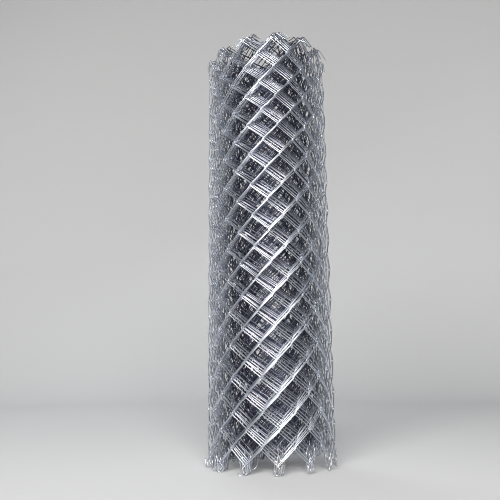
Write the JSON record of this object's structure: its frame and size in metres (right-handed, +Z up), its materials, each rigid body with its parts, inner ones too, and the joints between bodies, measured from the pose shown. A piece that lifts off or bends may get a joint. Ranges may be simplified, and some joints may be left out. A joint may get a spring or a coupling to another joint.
{
  "type": "roll of diamond-mesh wire fence",
  "caption": "Standing roll of galvanised woven diamond-mesh fence wire with hooked edges and an open centre bore.",
  "frame": {"origin": "centre of the bore on the floor plane, under the standing roll", "axes": "+Z up along the roll's bore and the height of the fence, +X and +Y across the roll"},
  "size_m": [0.45, 0.4496, 1.5425],
  "materials": {
    "galvanised_wire": "hot-dip galvanised wire, dull silver with a bluish cast"
  },
  "bodies": {
    "root": {"fence_roll": "galvanised_wire"}
  },
  "joints": []
}
